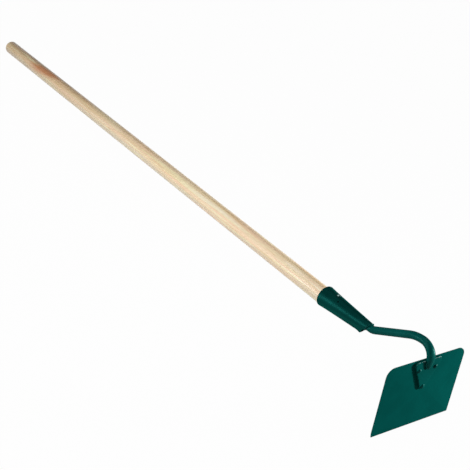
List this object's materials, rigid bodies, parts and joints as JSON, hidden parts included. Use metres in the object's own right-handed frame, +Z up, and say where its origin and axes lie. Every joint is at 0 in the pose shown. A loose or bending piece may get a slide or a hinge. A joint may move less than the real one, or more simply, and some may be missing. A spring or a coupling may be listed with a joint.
{
  "type": "garden hoe",
  "caption": "Draw hoe: a flat wide blade with round top corners on a bent round neck, rolled socket and long wooden handle.",
  "frame": {"origin": "on the supporting surface, under the middle of the tool's outline, with the tool laid down on its cutting edge and the far end of the handle", "axes": "+X along the handle towards the blade, +Y across the blade's width, +Z up"},
  "size_m": [1.4662, 0.16, 0.1454],
  "materials": {
    "wood": "bare turned hardwood, sanded",
    "socket_paint": "semi-gloss dark green paint on sheet steel",
    "neck_paint": "semi-gloss dark green paint on bent bar",
    "plate_paint": "semi-gloss dark green paint on stamped plate",
    "blade_paint": "semi-gloss dark green paint on flat sheet steel",
    "rivet_paint": "semi-gloss dark green paint over formed rivet heads",
    "nail_steel": "steel nail with thin green overspray",
    "weld_paint": "dark green paint over a weld bead"
  },
  "bodies": {
    "root": {"handle": "wood", "socket": "socket_paint", "swan_neck": "neck_paint", "rivet_plate": "plate_paint", "blade": "blade_paint", "rivet_left": "rivet_paint", "rivet_right": "rivet_paint", "rivet_bottom": "rivet_paint", "handle_nail": "nail_steel", "socket_weld": "weld_paint", "neck_weld": "weld_paint"}
  },
  "joints": []
}
